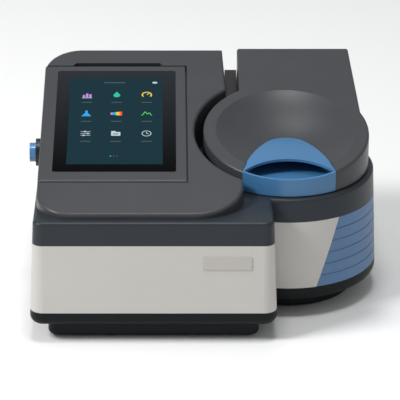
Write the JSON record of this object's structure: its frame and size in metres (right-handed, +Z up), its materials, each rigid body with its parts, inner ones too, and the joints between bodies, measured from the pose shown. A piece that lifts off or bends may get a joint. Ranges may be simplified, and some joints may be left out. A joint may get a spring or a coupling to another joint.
{
  "type": "uv-vis spectrophotometer",
  "caption": "Bench UV-visible spectrophotometer: sloping console with a tilting touch display, round dished sample-compartment lid, cell turret and monochromator inside.",
  "frame": {"origin": "centre of the footprint's bounding box, on the surface that the feet stand on", "axes": "+X towards the sample compartment at the right, +Y towards the back, +Z up"},
  "size_m": [0.347, 0.2912, 0.1996],
  "materials": {
    "case_dark": "fine satin moulding",
    "case_light": "fine satin moulding",
    "case_black": "matte moulding",
    "handle_blue": "satin gloss",
    "accent_blue": "fine satin moulding",
    "button_blue": "satin gloss",
    "screen_glass": "black cover glass, polished",
    "black_plastic": "matte",
    "black_anodised": "black anodised",
    "aluminium": "machined, satin",
    "steel": "ground",
    "brass": "machined",
    "board_green": "solder mask",
    "rubber": "matte",
    "optic_glass": "polished quartz",
    "optic_mirror": "first-surface mirror",
    "gear_plastic": "moulded acetal"
  },
  "bodies": {
    "housing": {"badge_plate": "aluminium", "base_tray": "case_black", "beam_splitter": "optic_glass", "beam_windows": "optic_glass", "button_ring": "case_black", "collimating_mirror": "optic_mirror", "condenser_lens": "optic_glass", "console_cover": "case_dark", "data_sockets": "steel", "display_hinge_rod": "steel", "entrance_slit": "black_anodised", "exit_slit": "black_anodised", "fan_frame": "black_plastic", "filter_motor": "black_plastic", "flash_lamp": "optic_glass", "focusing_mirror": "optic_mirror", "fold_mirrors": "optic_mirror", "grating_motor": "black_plastic", "hinge_bracket": "aluminium", "hinge_pin": "steel", "lamp_housing": "black_anodised", "lens_mount": "black_anodised", "lower_housing": "case_light", "main_board": "board_green", "motor_bracket": "aluminium", "network_socket": "steel", "optics_plate": "aluminium", "power_inlet": "black_plastic", "power_switch": "black_plastic", "rear_panel": "black_plastic", "rear_panel_screws": "steel", "rear_spine": "black_plastic", "reference_detector": "steel", "rubber_feet": "rubber", "sample_detector": "board_green", "sample_well": "black_anodised", "side_accent_panel": "accent_blue", "turret_bearing": "brass", "turret_motor": "black_plastic", "upper_housing": "case_dark", "well_gasket": "rubber"},
    "lid": {"lid_shell": "case_dark", "lid_liner": "black_plastic", "lid_handle": "handle_blue", "lid_hinge_arms": "aluminium"},
    "display": {"display_bezel": "case_dark", "display_glass": "screen_glass", "lcd_module": "black_plastic", "display_board": "board_green", "display_back_cover": "black_plastic"},
    "power_button": {"power_button": "button_blue"},
    "turret": {"cell_turret": "black_anodised", "turret_knob": "black_plastic", "turret_spindle": "steel", "turret_gear": "gear_plastic"},
    "pinion": {"motor_pinion": "brass"},
    "grating": {"grating": "optic_mirror", "grating_stage": "black_anodised"},
    "filter": {"filter_wheel": "black_anodised"},
    "fan": {"fan_rotor": "black_plastic"}
  },
  "joints": [
    {"name": "lid_hinge", "type": "hinge", "parent": "housing", "child": "lid", "pos_m": [0.0942, 0.133, 0.15], "axis": [-1, 0, 0], "range_deg": [0, 70]},
    {"name": "display_tilt", "type": "hinge", "parent": "housing", "child": "display", "pos_m": [-0.0903, -0.07737, 0.13973], "axis": [1, 0, 0], "range_deg": [0, 40]},
    {"name": "power_button_push", "type": "slide", "parent": "housing", "child": "power_button", "axis": [1, 0, 0], "range_m": [0, 0.0025], "stiffness_N_per_m": 600},
    {"name": "turret_spin", "type": "hinge", "parent": "housing", "child": "turret", "pos_m": [0.0815, 0.0034, 0.06], "axis": [0, 0, 1], "continuous": true},
    {"name": "pinion_spin", "type": "hinge", "parent": "housing", "child": "pinion", "pos_m": [0.1266, 0.0034, 0.046], "axis": [0, 0, 1], "continuous": true},
    {"name": "grating_turn", "type": "hinge", "parent": "housing", "child": "grating", "pos_m": [-0.072, 0.0354, 0.072], "axis": [0, 0, 1], "range_deg": [-20, 20]},
    {"name": "filter_spin", "type": "hinge", "parent": "housing", "child": "filter", "pos_m": [-0.1055, 0.0514, 0.088], "axis": [0, 1, 0], "continuous": true},
    {"name": "fan_spin", "type": "hinge", "parent": "housing", "child": "fan", "pos_m": [-0.112, 0.133, 0.067], "axis": [0, 1, 0], "continuous": true}
  ],
  "couplings": [
    {"joint": "pinion_spin", "follows": "turret_spin", "ratio": -4}
  ]
}
